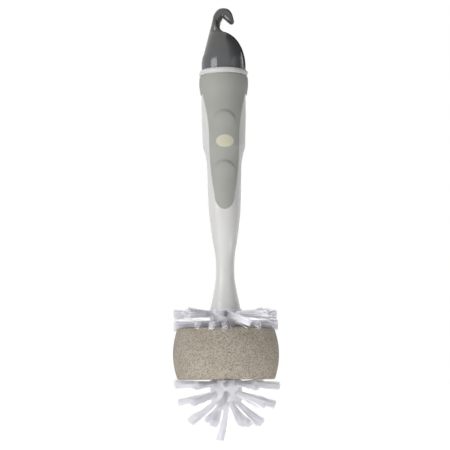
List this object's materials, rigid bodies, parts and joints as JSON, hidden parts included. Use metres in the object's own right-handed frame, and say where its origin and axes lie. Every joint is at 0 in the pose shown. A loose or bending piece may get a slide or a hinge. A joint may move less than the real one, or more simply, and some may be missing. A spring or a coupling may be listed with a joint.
{
  "type": "bottle brush",
  "caption": "Bottle brush with a soft-grip handle, a tufted head round a foam barrel, and a hooked cap that pulls out with a small teat brush.",
  "frame": {"origin": "the top of the hook's throat on the brush's axis, where the brush hangs from a rail", "axes": "+Z along the brush towards the hook, the thumb side of the grip faces -Y, the hook opens to +X"},
  "size_m": [0.0696, 0.07, 0.2904],
  "materials": {
    "white_plastic": "satin",
    "grey_rubber": "matte",
    "smoke_plastic": "gloss",
    "core_plastic": "satin",
    "foam": "matte",
    "nylon": "satin",
    "steel": "satin"
  },
  "bodies": {
    "brush_body": {"handle_shell": "white_plastic", "soft_grip": "grey_rubber", "head_core": "core_plastic", "foam_sleeve": "foam", "top_tuft_1": "nylon", "top_tuft_2": "nylon", "top_tuft_3": "nylon", "top_tuft_4": "nylon", "top_tuft_5": "nylon", "top_tuft_6": "nylon", "top_tuft_7": "nylon", "top_tuft_8": "nylon", "second_tuft_1": "nylon", "second_tuft_2": "nylon", "second_tuft_3": "nylon", "second_tuft_4": "nylon", "second_tuft_5": "nylon", "second_tuft_6": "nylon", "second_tuft_7": "nylon", "second_tuft_8": "nylon", "lower_tuft_1": "nylon", "lower_tuft_2": "nylon", "lower_tuft_3": "nylon", "lower_tuft_4": "nylon", "lower_tuft_5": "nylon", "lower_tuft_6": "nylon", "lower_tuft_7": "nylon", "lower_tuft_8": "nylon", "hub_tuft_1": "nylon", "hub_tuft_2": "nylon", "hub_tuft_3": "nylon", "hub_tuft_4": "nylon", "hub_tuft_5": "nylon", "hub_tuft_6": "nylon", "hub_tuft_7": "nylon", "hub_tuft_8": "nylon", "nose_tuft_1": "nylon", "nose_tuft_2": "nylon", "nose_tuft_3": "nylon", "nose_tuft_4": "nylon", "nose_tuft_5": "nylon", "nose_tuft_6": "nylon", "nose_tuft_7": "nylon", "nose_tuft_8": "nylon", "end_tuft": "nylon"},
    "cap_and_teat_brush": {"hook_cap": "smoke_plastic", "teat_plug": "smoke_plastic", "teat_wire": "steel", "teat_bristles": "nylon"}
  },
  "joints": [
    {"name": "cap_pull", "type": "slide", "parent": "brush_body", "child": "cap_and_teat_brush", "axis": [0, 0, 1], "range_m": [0, 0.086]}
  ]
}
